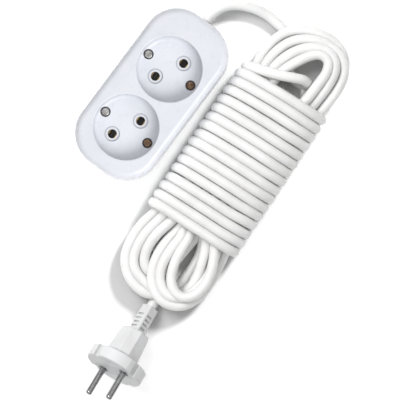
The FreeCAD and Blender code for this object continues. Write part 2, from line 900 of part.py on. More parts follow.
def make_inner_sheath():
    """The cord's sheath from inside the wall to where it is stripped, round its two cores."""
    body = keep(new_body("inner_sheath"))
    start = "Size.block_length / 2 - Size.sheath_inset"
    at = ("0", start, "Size.split_height")
    long = "Size.sheath_inset - Size.entry_gap"
    cylinder(body, "Sheath", "Additive", "Size.cord_radius", long, at, ALONG_Y)
    for number, side in enumerate((1, -1)):
        place = (f"{side} * Size.core_offset", f"{start} - Size.overshoot", "Size.split_height")
        name = f"SheathCore{number}"
        length = "Size.sheath_inset + 2 * Size.overshoot"
        cylinder(body, name, "Subtractive", "Size.core_radius", length, place, ALONG_Y)


def make_block_core(label, end):
    """One insulated core from inside the wall to its terminal."""
    wall = size("block_length") / 2
    strip_end = wall - size("sheath_inset")
    x = worked_out(terminal_x(end))
    z = worked_out(terminal_bore_z())
    height = size("split_height")
    front = size("strip_front")
    near = end * size("core_offset")
    straight = size("core_straight")
    points = (
        (near, wall - size("entry_gap"), height),
        (near, strip_end - straight, height),
        (x, front + straight, z),
        (x, front - size("core_in_terminal"), z),
    )
    tube_part(label, points, "core_radius")


def make_wire_ends():
    """Bare copper at each terminal."""
    made = []
    for number, end in enumerate((1, -1)):
        body = new_body(f"wire_end_{number + 1}")
        at = (
            terminal_x(end),
            "Size.strip_front - Size.terminal_length + Size.wire_stop",
            terminal_bore_z(),
        )
        name = f"WireEnd{number}"
        long = "Size.terminal_length - Size.wire_stop - Size.core_in_terminal"
        cylinder(body, name, "Additive", "Size.wire_radius", long, at, ALONG_Y)
        made.append(body)
    group("wire_ends", made)


# ---------------------------------------------------------------- plug, in its own frame


def plug_placement():
    """The plug lies on its flange's rim and the end of its relief, its pins pointing up a little.

    In the plug's own frame the pins run along +Z from the face at z = 0 and stand on the X axis.
    """
    tilt = size("plug_tilt")
    lean = math.radians(tilt)
    rim = size("flange_radius") * math.cos(lean) + size("flange_thickness") * math.sin(lean)
    base = Vector(size("plug_x"), size("plug_y"), rim + size("floor_gap"))
    forward = FreeCAD.Rotation(Vector(1, 0, 0), 90 - tilt)
    heading = FreeCAD.Rotation(Z_AXIS, size("plug_heading"))
    roll = FreeCAD.Rotation(Z_AXIS, size("plug_roll") + 180)
    return FreeCAD.Placement(base, heading.multiply(forward).multiply(roll))


def plug_length():
    return (
        size("flange_thickness")
        + size("cone_height")
        + size("grip_length")
        + size("relief_length")
    )


def make_plug_moulding(at):
    """Flange with its grooves, the cone behind it and the faceted grip."""
    body = new_body("plug_moulding", at)
    thick = "Size.flange_thickness"
    radius = "Size.flange_radius"
    cylinder(body, "Flange", "Additive", radius, thick, ("0", "0", f"-{thick}"))
    cone = body.newObject("PartDesign::AdditiveCone", "Cone")
    bind(cone, Radius1="Size.cone_radius", Radius2=radius, Height="Size.cone_height")
    move(cone, ("0", "0", f"-{thick} - Size.cone_height"))
    doc.recompute()
    add_grip(body)
    cut_guides(body)
    rim = circle_at(0.0, size("flange_radius"))
    dress(body, "FaceRound", "Fillet", "Size.flange_round", rim)
    for number, side in enumerate((1, -1)):
        seat = (f"{side} * Size.pin_spacing / 2", "0", "-Size.pin_seat_depth")
        deep = "Size.pin_seat_depth + Size.overshoot"
        cylinder(body, f"FaceSeat{number}", "Subtractive", "Size.pin_seat_radius", deep, seat)
    return body


def add_grip(body):
    """A frustum with cut corners that flares from the relief to the flange."""
    grip = body.newObject("PartDesign::AdditiveWedge", "Grip")
    front = ("Size.grip_front_wide", "Size.grip_front_thick")
    back = ("Size.grip_back_wide", "Size.grip_back_thick")
    bind(
        grip,
        Ymin="0",
        Ymax="Size.grip_length + Size.cone_height",
        Xmin=f"-{back[0]} / 2",
        Xmax=f"{back[0]} / 2",
        Zmin=f"-{back[1]} / 2",
        Zmax=f"{back[1]} / 2",
        X2min=f"-{front[0]} / 2",
        X2max=f"{front[0]} / 2",
        Z2min=f"-{front[1]} / 2",
        Z2max=f"{front[1]} / 2",
    )
    start = "-Size.flange_thickness - Size.cone_height - Size.grip_length"
    move(grip, ("0", "0", start), FreeCAD.Rotation(Vector(1, 0, 0), 90))
    doc.recompute()
    body.Tip = grip
    dress(body, "GripFacets", "Chamfer", "Size.grip_chamfer", slanted)
    shoulder = worked_out(start)
    dress(body, "GripShoulder", "Fillet", "Size.grip_round", lies_at(shoulder))


def slanted(edge):
    """The four long corner edges of the grip, outside the cone."""
    box_of = edge.BoundBox
    start = -(size("flange_thickness") + size("cone_height") + size("grip_length"))
    straight = isinstance(edge.Curve, Part.Line)
    long_enough = box_of.ZLength > size("grip_length") / 2
    return straight and abs(box_of.ZMin - start) < NEAR and long_enough


def cut_guides(body):
    """Guide grooves at the ends of the pin line and clip notches across it."""
    cutter = "Size.cutter_depth"
    deep = "Size.flange_thickness + Size.cone_height + Size.overshoot"
    low = "-Size.flange_thickness - Size.cone_height"
    for number, side in enumerate((1, -1)):
        inner = "Size.flange_radius - Size.guide_groove_depth"
        x = inner if side > 0 else f"-({inner}) - {cutter}"
        at = (x, "-Size.guide_groove_width / 2", low)
        box(body, f"Groove{number}", "Subtractive", cutter, "Size.guide_groove_width", deep, at)
        inner = "Size.flange_radius - Size.guide_flat_depth"
        x = inner if side > 0 else f"-({inner}) - {cutter}"
        at = (x, "-Size.flange_radius", low)
        box(body, f"Flat{number}", "Subtractive", cutter, "2 * Size.flange_radius", deep, at)
        inner = "Size.flange_radius - Size.clip_notch_depth"
        y = inner if side > 0 else f"-({inner}) - {cutter}"
        at = ("-Size.clip_notch_width / 2", y, low)
        box(body, f"Notch{number}", "Subtractive", "Size.clip_notch_width", cutter, deep, at)


def make_relief(at):
    """A square sleeve round the cord, slotted on its four sides so that it bends."""
    body = keep(new_body("plug_relief", at))
    end = f"-{plug_length()}"
    outline = sketch_on(body, "ReliefOutline", end)
    rounded_rectangle(outline, "Size.relief_side", "Size.relief_side", "Size.relief_round")
    extrude(body, "ReliefPad", "Pad", outline, "Size.relief_length")
    half = size("relief_side") / 2
    cutter = "Size.cutter_depth"
    long = "Size.relief_side - 2 * Size.relief_rail"
    top = plug_length() - size("relief_length") + size("relief_first_slot")
    for number in range(RELIEF_SLOTS):
        z = f"-{top} - {number} * Size.relief_pitch - Size.relief_slot"
        for face in range(4):
            turn = FreeCAD.Rotation(Z_AXIS, 90 * face)
            corner = Vector(half - size("relief_slot_depth"), size("relief_rail") - half, 0)
            corner = turn.multVec(corner)
            at = (str(corner.x), str(corner.y), z)
            name = f"ReliefSlot{number}{face}"
            box(body, name, "Subtractive", cutter, long, "Size.relief_slot", at, turn)
    place = ("0", "0", f"{end} - Size.overshoot")
    long = "Size.relief_length + 2 * Size.overshoot"
    cylinder(body, "ReliefBore", "Subtractive", "Size.cord_radius", long, place)


def make_bridge(at):
    """The rigid bar in the face that holds both pins apart."""
    body = keep(new_body("plug_bridge", at))
    low = "-Size.bridge_depth"
    for number, side in enumerate((1, -1)):
        place = (f"{side} * Size.pin_spacing / 2", "0", low)
        name = f"BridgeEnd{number}"
        cylinder(body, name, "Additive", "Size.bridge_radius", "Size.bridge_depth", place)
    at_corner = ("-Size.pin_spacing / 2", "-Size.bridge_radius", low)
    wide = "2 * Size.bridge_radius"
    box(body, "BridgeBar", "Additive", "Size.pin_spacing", wide, "Size.bridge_depth", at_corner)
    for number, side in enumerate((1, -1)):
        x = f"{side} * Size.pin_spacing / 2"
        deep = "Size.bridge_depth + 2 * Size.overshoot"
        place = (x, "0", f"{low} - Size.overshoot")
        name = f"BridgeHole{number}"
        cylinder(body, name, "Subtractive", "Size.plug_pin_root_radius", deep, place)
        seat = (x, "0", "-Size.pin_seat_depth")
        name = f"PinSeat{number}"
        deep = "Size.pin_seat_depth + Size.overshoot"
        cylinder(body, name, "Subtractive", "Size.pin_seat_radius", deep, seat)
    return body


def make_pin(label, side, at):
    """A round contact pin with a rounded tip; its thicker root is buried in the plug."""
    body = keep(new_body(label, at))
    x = f"{side} * Size.pin_spacing / 2"
    place = (x, "0", "-Size.plug_pin_root")
    root = "Size.plug_pin_root_radius"
    cylinder(body, f"{label}Root", "Additive", root, "Size.plug_pin_root", place)
    rod_at = (x, "0", "-Size.overlap")
    long = "Size.plug_pin_length + Size.overlap"
    cylinder(body, f"{label}Rod", "Additive", "Size.plug_pin_radius", long, rod_at)
    tip = circle_at(size("plug_pin_length"), size("plug_pin_radius"))
    dress(body, f"{label}Tip", "Fillet", "Size.pin_tip_round", tip)
    return body


def make_crimps(at):
    """Crimped sleeves behind the pins."""
    made = []
    for number, side in enumerate((1, -1)):
        body = new_body(f"crimp_{number + 1}", at)
        place = (
            f"{side} * Size.pin_spacing / 2",
            "0",
            "-Size.plug_pin_root - Size.crimp_length",
        )
        name = f"Crimp{number}"
        cylinder(body, name, "Additive", "Size.crimp_radius", "Size.crimp_length", place)
        made.append(body)
    return group("plug_crimps", made)


def make_plug_core(label, side, at):
    """One insulated core from the cord's sheath to its crimp."""
    pin_x = side * size("pin_spacing") / 2
    near = side * size("core_offset")
    root = -(size("plug_pin_root") + size("crimp_length"))
    sheath = -size("plug_sheath_start")
    # the last stretch runs straight inside the sheath
    points = (
        (pin_x, 0.0, root),
        (pin_x, 0.0, root - size("crimp_lead")),
        (near, 0.0, sheath + size("core_spread")),
        (near, 0.0, -plug_length()),
    )
    return tube_part(label, points, "core_radius", at)


def make_plug_sheath(at):
    """The cord's sheath inside the relief and the grip, round its two cores."""
    body = keep(new_body("plug_sheath_end", at))
    end = f"-{plug_length()}"
    long = f"{plug_length()} - Size.plug_sheath_start"
    cylinder(body, "PlugSheath", "Additive", "Size.cord_radius", long, ("0", "0", end))
    for number, side in enumerate((1, -1)):
        place = (f"{side} * Size.core_offset", "0", f"{end} - Size.overshoot")
        name = f"PlugSheathCore{number}"
        through = f"{long} + 2 * Size.overshoot"
        cylinder(body, name, "Subtractive", "Size.core_radius", through, place)
    return body


def make_plug():
    at = plug_placement()
    moulding = make_plug_moulding(at)
    make_relief(at)
    inside = [
        make_bridge(at),
        make_pin("line_pin", 1, at),
        make_pin("neutral_pin", -1, at),
        make_crimps(at),
        make_plug_core("plug_live_core", 1, at),
        make_plug_core("plug_neutral_core", -1, at),
        make_plug_sheath(at),
    ]
    buried = doc.addObject("Part::MultiFuse", "PlugInside")
    buried.Shapes = inside
    body = doc.addObject("Part::Cut", "plug_body")
    body.Label = "plug_body"
    body.Base = moulding
    body.Tool = buried
    keep(body)
    doc.recompute()
    return at


# ---------------------------------------------------------------- hank and tail


def hank_placement():
    base = Vector(size("hank_x"), size("hank_y"), 0)
    return FreeCAD.Placement(base, FreeCAD.Rotation(Z_AXIS, size("hank_angle")))


def make_hank(routes):
    """The wound cord's outer shape: long flat loops, wrapped round the middle."""
    body = new_body("hank_shape", hank_placement())
    loops = sketch_on(body, "Loops", "0")
    round_end = "Size.hank_width / 2 - Size.hank_end_flat"
    rounded_rectangle(loops, "Size.hank_width", "Size.hank_length", round_end)
    extrude(body, "LoopsPad", "Pad", loops, "Size.hank_height")
    dress(body, "LoopsRound", "Fillet", "Size.hank_round", lies_at(size("hank_height")))
    at = (
        "-Size.wrap_width / 2 - Size.wrap_side_shift",
        "Size.wrap_shift - Size.wrap_length / 2",
        "0",
    )
    box(body, "Wraps", "Additive", "Size.wrap_width", "Size.wrap_length", "Size.wrap_height", at)
    dress(body, "WrapsRound", "Fillet", "Size.wrap_round", wrap_corner)
    tool = doc.addObject("Part::Compound", "CordChannels")
    tool.Links = [cord_channel(route) for route in routes]
    hank = doc.addObject("Part::Cut", "cord_hank")
    hank.Label = "cord_hank"
    hank.Base = body
    hank.Tool = tool
    doc.recompute()
    keep(hank)


def wrap_corner(edge):
    """The two top edges of the wraps along the hank."""
    box_of = edge.BoundBox
    return lies_at(size("wrap_height"))(edge) and box_of.YLength > size("wrap_length") - 1


def cord_channel(route):
    """Room for a cord that runs into the hank: it ends face to face with the cord."""
    channel = doc.addObject("Part::Feature", "Channel")
    points = [Vector(*point) for point in route]
    channel.Shape = swept_tube(points, size("channel_radius"))[0]
    return channel


def make_cords(plug_at):
    """The cord's two open stretches, and the hank between them."""
    relief_end = plug_at.multVec(Vector(0, 0, -plug_length()))
    back = plug_at.Rotation.multVec(Vector(0, 0, -1))
    near = relief_end + back * size("tail_first_run")
    lowest = size("cord_radius") + size("floor_gap")
    tail = [relief_end, near]
    for x, y, z in TAIL_STEPS:
        tail.append(Vector(near.x + x, near.y + y, lowest + z))
    tube_part("cord_lead", LEAD_ROUTE, "cord_radius")
    tube_part("cord_tail", tail, "cord_radius")
    make_hank((LEAD_ROUTE, tail))


# ---------------------------------------------------------------- check and write


def check_and_write():
    """Refuse anything failed or empty, then write each sub-part."""
    doc.recompute()
    for item in doc.Objects:
        if "Invalid" in item.State or "Error" in item.State:
            raise RuntimeError(f"{item.Label} failed: {item.State}")
    for item in parts:
        if item.Shape.isNull() or not item.Shape.isValid():
            raise RuntimeError(f"{item.Label} has no valid shape")
    os.makedirs("parts", exist_ok=True)
    for item in parts:
        item.Shape.exportStep(f"parts/{item.Label}.step")
        print(f"{item.Label}: {len(item.Shape.Solids)} solid(s), {item.Shape.Volume:.0f} mm3")


fill_sheet()
make_cover()
make_base()
make_cover_screws()
make_busbar("line_busbar", 1)
make_busbar("neutral_busbar", -1)
make_clips("line_clips", 1)
make_clips("neutral_clips", -1)
make_rivets()
make_terminal("line_terminal", 1)
make_terminal("neutral_terminal", -1)
make_terminal_screws()
make_clamp_bar()
make_clamp_screws()
make_inner_sheath()
make_block_core("live_core", 1)
make_block_core("neutral_core", -1)
make_wire_ends()
make_cords(make_plug())
check_and_write()
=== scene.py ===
import json
import math
import random

import bpy
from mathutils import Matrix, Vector


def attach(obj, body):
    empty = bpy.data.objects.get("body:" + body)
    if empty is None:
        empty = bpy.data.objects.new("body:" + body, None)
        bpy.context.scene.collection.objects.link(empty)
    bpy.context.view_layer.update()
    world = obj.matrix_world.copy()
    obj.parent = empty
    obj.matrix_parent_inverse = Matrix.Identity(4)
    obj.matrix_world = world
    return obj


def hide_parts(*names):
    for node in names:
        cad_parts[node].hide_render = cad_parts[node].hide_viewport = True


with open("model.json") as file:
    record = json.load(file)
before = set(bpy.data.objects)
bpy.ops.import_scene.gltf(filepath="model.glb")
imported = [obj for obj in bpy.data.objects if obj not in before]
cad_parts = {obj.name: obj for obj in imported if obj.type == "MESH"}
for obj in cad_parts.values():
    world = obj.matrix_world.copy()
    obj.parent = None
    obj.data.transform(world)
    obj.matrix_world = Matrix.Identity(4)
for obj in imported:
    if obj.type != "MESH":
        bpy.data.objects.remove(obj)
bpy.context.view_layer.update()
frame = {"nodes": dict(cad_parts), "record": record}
MM = 0.001
random.seed(7)

# ---------------------------------------------------------------- the cord
# All lengths in this section are millimetres; a point becomes metres when it goes into the spline.
CORD_DIAMETER = 6.4
CORD_RADIUS = CORD_DIAMETER / 2

# From the block to the hank, and from the hank to the plug. The lead's arc stands a few
# millimetres outside the CAD route, and the tail has the CAD route's own points.
LEAD_ROUTE = [
    (0.0, 56.2, 10.0), (-0.2, 61.2, 9.8), (1.2, 67.4, 9.1), (5.6, 73.4, 8.0),
    (12.6, 78.2, 6.6), (21.0, 81.4, 5.2), (30.2, 82.4, 4.1), (39.0, 81.4, 3.5),
]
TAIL_ROUTE = [(76.79, -94.78, 3.4), (77.690, -101.184, 4.129), (78.187, -105.913, 5.674)]

# The hank's own frame: along its length, and across it.
HANK_CENTRE = Vector((68.8, -3.6, 0.0))
HANK_TURN = math.radians(3.1)
ALONG = Vector((-math.sin(HANK_TURN), math.cos(HANK_TURN), 0.0))
ACROSS = Vector((math.cos(HANK_TURN), math.sin(HANK_TURN), 0.0))

# A wrap's section (across, height), from the top right round by the left and under to the right.
WRAP_SECTION = [
    (13.0, 21.3), (3.0, 21.8), (-7.0, 21.8), (-17.0, 21.6), (-26.0, 20.6), (-30.6, 16.4),
    (-31.2, 10.5), (-29.0, 4.2), (-20.0, 3.1), (-8.0, 3.1), (4.0, 3.1), (15.0, 3.1),
    (24.0, 3.4), (27.9, 8.0), (26.6, 14.6), (21.0, 19.0),
]
WRAPS = 16
WRAP_START = 52.0      # where along the hank the first full wrap begins, at its right-hand end
RIGHT_PITCH = 6.54
FIRST_SLANT = 5.0      # how far the first wrap moves along the hank while it crosses the top
LAST_SLANT = 1.7
TOP_SHARE = 0.42       # the share of a wrap that lies on top
SLANT_BEND = 1.7       # above 1, a wrap does most of that near its left-hand end
WRAP_SHIFT = 0.32      # how far chance moves a wrap along the hank, either way
WRAP_SWELL = 0.01      # and how much wider or narrower it makes it
LAST_WRAP_POINTS = 9   # the last wrap stops under the bundle

# How a bend rises to its crown, and where along it its right side starts and ends to move.
CROWN_SHARPNESS = 1.5
PUSH_FROM = 0.45
PUSH_LENGTH = 0.25

# The strands' places inside the wraps, as (across, height), in two layers from left to right.
LOWER = [(-23.5 + 6.55 * column, 9.3) for column in range(8)]
UPPER = [(-20.2 + 6.4 * column, 15.5) for column in range(6)]
BUNDLE_STATIONS = [42.0, 25.0, 8.0, -9.0, -26.0, -43.0]

# Outlines of the two ends' bends as (across, along), from left to right.
TOP_INNER = [
    (-11.0, 54.0), (-10.3, 61.0), (-8.0, 68.0), (-4.8, 74.5), (-1.2, 80.5), (4.0, 85.6),
    (10.8, 85.2), (13.8, 78.5), (13.4, 70.5), (12.8, 62.5), (12.2, 54.0),
]
TOP_OUTER = [
    (-24.4, 55.0), (-25.8, 66.0), (-25.2, 76.0), (-20.8, 86.4), (-11.6, 93.4), (0.6, 97.0),
    (11.8, 96.0), (20.6, 89.6), (24.6, 78.0), (24.4, 66.0), (23.0, 54.0),
]
LOW_INNER = [
    (-0.3, -53.0), (-0.6, -62.0), (0.6, -71.0), (3.4, -79.4), (9.2, -85.8), (17.0, -86.6),
    (22.6, -80.6), (24.0, -70.0), (21.8, -61.0), (18.2, -53.0),
]
LOW_PAIR = [
    (-9.4, -53.0), (-11.0, -63.0), (-10.8, -74.0), (-7.8, -85.0), (0.4, -93.2), (10.4, -95.6),
    (19.8, -90.8), (25.2, -81.0), (26.0, -67.0), (23.8, -53.0),
]
LOW_BAND = [
    (-27.0, -53.0), (-29.6, -63.0), (-29.6, -75.0), (-26.6, -86.4), (-18.0, -94.4), (-5.6, -97.0),
    (5.6, -96.2), (15.2, -90.0), (20.0, -76.0), (19.0, -53.0),
]

# The one bend of the bottom end that stays under the others.
LOW_HIDDEN = [
    (-15.8, -53.0), (-18.6, -63.0), (-18.6, -74.0), (-14.4, -83.0), (-6.4, -84.8), (-0.6, -79.8),
    (0.6, -70.0), (1.4, -61.0), (2.4, -53.0),
]

# The seven turns, in their order along the cord. Each has its left and right places inside the
# wraps, then its bend at the top end, and then the bend at the bottom end that leads to the next.
# A top bend lies a share of the way from the inner outline to the outer one. A bottom bend follows
# one outline, inset_by millimetres inside it. The heights are those at a bend's left side, crown
# and right side, and push moves its right side across.
TURNS = [
    dict(left=LOWER[1], right=LOWER[4], top=dict(share=0.64, heights=(3.3, 8.2, 3.2), push=-5.0),
         low=dict(outline=LOW_HIDDEN, inset_by=0.0, heights=(14.4, 9.8, 9.3))),
    dict(left=UPPER[1], right=UPPER[5], top=dict(share=0.32, heights=(12.2, 15.4, 11.2), push=1.8),
         low=dict(outline=LOW_INNER, inset_by=0.0, heights=(15.2, 15.6, 15.4))),
    dict(left=LOWER[3], right=UPPER[3], top=dict(share=0.02, heights=(8.8, 10.2, 9.0), push=0.3),
         low=dict(outline=LOW_BAND, inset_by=0.0, heights=(7.0, 9.2, 3.1), push=-8.0)),
    dict(left=LOWER[0], right=LOWER[6], top=dict(share=1.0, heights=(5.4, 9.4, 3.2), push=0.0),
         low=dict(outline=LOW_PAIR, inset_by=5.2, heights=(14.8, 14.2, 9.0), push=0.6)),
    dict(left=LOWER[2], right=LOWER[5], top=dict(share=0.28, heights=(6.0, 9.6, 7.2), push=3.0),
         low=dict(outline=LOW_BAND, inset_by=5.4, heights=(11.0, 9.4, 3.1), push=3.4)),
    dict(left=UPPER[0], right=LOWER[7], top=dict(share=0.66, heights=(8.9, 12.4, 8.0), push=4.4),
         low=dict(outline=LOW_PAIR, inset_by=0.0, heights=(10.4, 13.6, 3.4))),
    dict(left=UPPER[2], right=UPPER[4], top=dict(share=0.0, heights=(15.2, 16.4, 15.3), push=0.0),
         low=None),
]

# From the lead, under the top bends, up through their eye and over the left strands into the wraps,
# as (across, along, height).
START_OF_WRAPS = [
    (-18.5, 84.6, 3.2), (-14.2, 79.6, 3.2), (-12.8, 72.6, 3.2), (-7.0, 66.4, 3.2), (1.0, 63.0, 3.8),
    (6.6, 64.2, 7.6), (7.6, 66.4, 13.0), (4.2, 66.4, 18.2), (-0.8, 64.2, 20.9),
    (-8.5, 60.8, 22.2), (-17.5, 57.8, 21.2), (-26.0, 55.4, 18.6),
    (-30.0, 54.2, 13.6), (-29.6, 53.4, 7.4), (-25.0, 53.0, 3.6), (-16.0, 53.0, 3.1),
    (-6.0, 53.0, 3.1), (4.0, 53.0, 3.1), (14.0, 52.8, 3.1), (23.6, 52.4, 3.6),
    (27.6, 52.2, 8.2), (26.4, 52.1, 14.4), (20.6, 52.0, 19.0),
]
# From under the last wrap round the lowest bend to the first turn's left strand.
START_OF_TURNS = [
    (-12.0, -49.2, 3.1), (-4.6, -51.4, 3.1), (-0.4, -57.4, 3.1), (-0.8, -66.0, 3.1),
    (-5.6, -72.0, 3.1), (-12.4, -71.4, 3.1), (-16.4, -64.6, 3.2), (-17.0, -55.0, 5.6),
]
# From the last turn's right strand down through the bottom bends, to where the tail begins.
END_OF_TURNS = [
    (11.4, -52.0, 13.8), (14.6, -61.0, 12.8), (17.0, -70.0, 11.4), (17.6, -78.0, 9.4),
    (16.4, -83.8, 6.4), (12.4, -86.6, 4.2), (7.2, -87.2, 3.3),
]


def mix(a, b, share):
    return a + (b - a) * share


def in_row(across, along, height):
    """A point of the hank's own frame, in the frame of the whole object."""
    point = HANK_CENTRE + ACROSS * across + ALONG * along
    return (point.x, point.y, height)


def inset(outline, distance):
    """The outline moved towards its inside, which is on its left as it goes round a bottom bend."""
    moved = []
    for index, (across, along) in enumerate(outline):
        before = outline[max(index - 1, 0)]
        after = outline[min(index + 1, len(outline) - 1)]
        run = math.hypot(after[0] - before[0], after[1] - before[1])
        moved.append((across - (after[1] - before[1]) / run * distance,
                      along + (after[0] - before[0]) / run * distance))
    return moved


def bend(outline, heights, push=0.0):
    """A bend's points: its outline with a height along it, its right side pushed across."""
    last = len(outline) - 1
    points = []
    for index, (across, along) in enumerate(outline):
        place = index / last
        to_crown = math.sin(math.pi * place) ** CROWN_SHARPNESS
        side = heights[0] if place < 0.5 else heights[2]
        pushed = across + push * max(0.0, min(1.0, (place - PUSH_FROM) / PUSH_LENGTH))
        points.append(in_row(pushed, along, mix(side, heights[1], to_crown)))
    return points


def top_bend(share, heights, push):
    outline = [
        (mix(inner[0], outer[0], share), mix(inner[1], outer[1], share))
        for inner, outer in zip(TOP_INNER, TOP_OUTER)
    ]
    return bend(outline, heights, push)


def low_bend(outline, inset_by, heights, push=0.0):
    return bend(inset(outline, inset_by), heights, push)


def wrap_points():
    """The full wraps, from the top end to the bottom end. The last one goes on under the bundle."""
    steps = len(WRAP_SECTION)
    points = []
    for turn in range(WRAPS):
        slant = mix(FIRST_SLANT, LAST_SLANT, turn / (WRAPS - 1))
        shift = random.uniform(-WRAP_SHIFT, WRAP_SHIFT)
        swell = random.uniform(1.0 - WRAP_SWELL, 1.0 + WRAP_SWELL)
        for step, (across, height) in enumerate(WRAP_SECTION):
            if turn == WRAPS - 1 and step >= LAST_WRAP_POINTS:
                break
            progress = step / steps
            on_top = min(progress / TOP_SHARE, 1.0) ** SLANT_BEND
            beneath = max((progress - TOP_SHARE) / (1 - TOP_SHARE), 0.0)
            moved = slant * on_top + (RIGHT_PITCH - slant) * beneath
            along = WRAP_START - turn * RIGHT_PITCH - moved + shift
            points.append(in_row(across * swell, along, height))
    return points


def straight_run(place, stations):
    """A strand inside the wraps, at one (across, height) all along the stations."""
    across, height = place
    return [in_row(across, along, height) for along in stations]


def turn_points():
    """The seven long turns, up the left side, round the top, down the right, round the bottom."""
    points = []
    for turn in TURNS:
        points += straight_run(turn["left"], reversed(BUNDLE_STATIONS))
        points += top_bend(**turn["top"])
        points += straight_run(turn["right"], BUNDLE_STATIONS)
        if turn["low"]:
            points += reversed(low_bend(**turn["low"]))
    return points


def cord_points():
    return (
        LEAD_ROUTE
        + [in_row(*place) for place in START_OF_WRAPS]
        + wrap_points()
        + [in_row(*place) for place in START_OF_TURNS]
        + turn_points()
        + [in_row(*place) for place in END_OF_TURNS]
        + TAIL_ROUTE
    )


def make_cord():
    curve = bpy.data.curves.new("flex_cord", "CURVE")
    curve.dimensions = "3D"
    spline = curve.splines.new("NURBS")
    points = cord_points()
    spline.points.add(len(points) - 1)
    for point, place in zip(spline.points, points):
        point.co = (place[0] * MM, place[1] * MM, place[2] * MM, 1.0)
    spline.order_u = 3
    spline.use_endpoint_u = True
    spline.resolution_u = 5
    curve.bevel_depth = CORD_RADIUS * MM
    curve.bevel_resolution = 7
    curve.use_fill_caps = True
    cord = bpy.data.objects.new("flex_cord", curve)
    bpy.context.scene.collection.objects.link(cord)
    return cord


# ---------------------------------------------------------------- materials

# Noise seldom leaves this range, so its whole effect is spread over it.
NOISE_LOW, NOISE_HIGH = 0.3, 0.7
# A crease gets the full painted shade below the first share of open sky, and none above the second.
SHUT_IN, IN_THE_OPEN = 0.25, 0.85
SHELTER_SAMPLES = 12


def new_material(name):
    """A material, its node tree and its shader."""
    made = bpy.data.materials.new(name)
    made.use_nodes = True
    return made, made.node_tree, made.node_tree.nodes["Principled BSDF"]


def noise(tree, scale, detail=3.0, stretch=(1.0, 1.0, 1.0)):
    """Noise over the object's own space, in features per metre, squeezed along its axes."""
    space = tree.nodes.new("ShaderNodeTexCoord")
    squeeze = tree.nodes.new("ShaderNodeMapping")
    squeeze.inputs["Scale"].default_value = stretch
    texture = tree.nodes.new("ShaderNodeTexNoise")
    texture.inputs["Scale"].default_value = scale
    texture.inputs["Detail"].default_value = detail
    tree.links.new(space.outputs["Object"], squeeze.inputs["Vector"])
    tree.links.new(squeeze.outputs["Vector"], texture.inputs["Vector"])
    return texture.outputs["Fac"]


def ramp(tree, value, low_stop, high_stop):
    """A colour along a value, each stop a place and a colour."""
    node = tree.nodes.new("ShaderNodeValToRGB")
    for element, (place, colour) in zip(node.color_ramp.elements, (low_stop, high_stop)):
        element.position = place
        element.color = (*colour, 1.0)
    tree.links.new(value, node.inputs["Fac"])
    return node.outputs["Color"]


def spread(tree, value, low, high):
    """Noise stretched to run from low to high."""
    node = tree.nodes.new("ShaderNodeMapRange")
    node.inputs["From Min"].default_value = NOISE_LOW
    node.inputs["From Max"].default_value = NOISE_HIGH
    node.inputs["To Min"].default_value = low
    node.inputs["To Max"].default_value = high
    tree.links.new(value, node.inputs["Value"])
    return node.outputs["Result"]


def paint_crease_shade(tree, shader, crease_shade, reach):
    """Painted shade: darken the shader's colour towards the crease shade colour in corners and gaps
    narrower than the reach, where little light gets in.
    """
    colour = shader.inputs["Base Color"].links[0].from_socket
    shelter = tree.nodes.new("ShaderNodeAmbientOcclusion")
    shelter.samples = SHELTER_SAMPLES
    shelter.inputs["Distance"].default_value = reach
    depth = tree.nodes.new("ShaderNodeMapRange")
    depth.inputs["From Min"].default_value = SHUT_IN
    depth.inputs["From Max"].default_value = IN_THE_OPEN
    depth.inputs["To Min"].default_value = 1.0
    depth.inputs["To Max"].default_value = 0.0
    tree.links.new(shelter.outputs["AO"], depth.inputs["Value"])
    # Mix the painted crease shade into the colour by how shut in the point is.
    mixed = tree.nodes.new("ShaderNodeMix")
    mixed.data_type = "RGBA"
    mixed.inputs["B"].default_value = (*crease_shade, 1.0)
    tree.links.new(depth.outputs["Result"], mixed.inputs["Factor"])
    tree.links.new(colour, mixed.inputs["A"])
    tree.links.new(mixed.outputs["Result"], shader.inputs["Base Color"])


def relief(tree, shader, height, depth, before=None):
    """Raise the surface by a height signal times a depth in metres, on top of an earlier relief."""
    bump = tree.nodes.new("ShaderNodeBump")
    bump.inputs["Distance"].default_value = depth
    bump.inputs["Strength"].default_value = 1.0
    tree.links.new(height, bump.inputs["Height"])
    if before is not None:
        tree.links.new(before, bump.inputs["Normal"])
    tree.links.new(bump.outputs["Normal"], shader.inputs["Normal"])
    return bump.outputs["Normal"]


def moulded(name, clean, handled, gloss, grain, depth, crease_shade, patches=55.0, reach=0.0022):
    """Plastic: patches of tone where it was handled, painted shade in its creases, uneven gloss and
    the mould's grain.
    """
    made, tree, shader = new_material(name)
    tone = noise(tree, patches, 4.0)
    tree.links.new(ramp(tree, tone, (0.34, handled), (0.58, clean)), shader.inputs["Base Color"])
    # Painted shade: creases and narrow gaps are darkened towards the given shade colour.
    paint_crease_shade(tree, shader, crease_shade, reach)
    uneven = noise(tree, 4.0 * patches, 3.0)
    tree.links.new(spread(tree, uneven, gloss[0], gloss[1]), shader.inputs["Roughness"])
    waves = relief(tree, shader, noise(tree, 2.5 * patches, 1.0), 3.0 * depth)
    relief(tree, shader, noise(tree, grain, 2.0), depth, waves)
    return made, shader


def metal(name, bright, dull, gloss, brushing, depth):
    """Metal: dull patches on bright, and fine marks drawn out along one axis."""
    made, tree, shader = new_material(name)
    shader.inputs["Metallic"].default_value = 1.0
    tone = noise(tree, 420.0, 4.0)
    tree.links.new(ramp(tree, tone, (0.36, dull), (0.56, bright)), shader.inputs["Base Color"])
    marks = noise(tree, 1500.0, 3.0, brushing)
    tree.links.new(spread(tree, marks, gloss[0], gloss[1]), shader.inputs["Roughness"])
    relief(tree, shader, marks, depth)
    return made, tree, shader


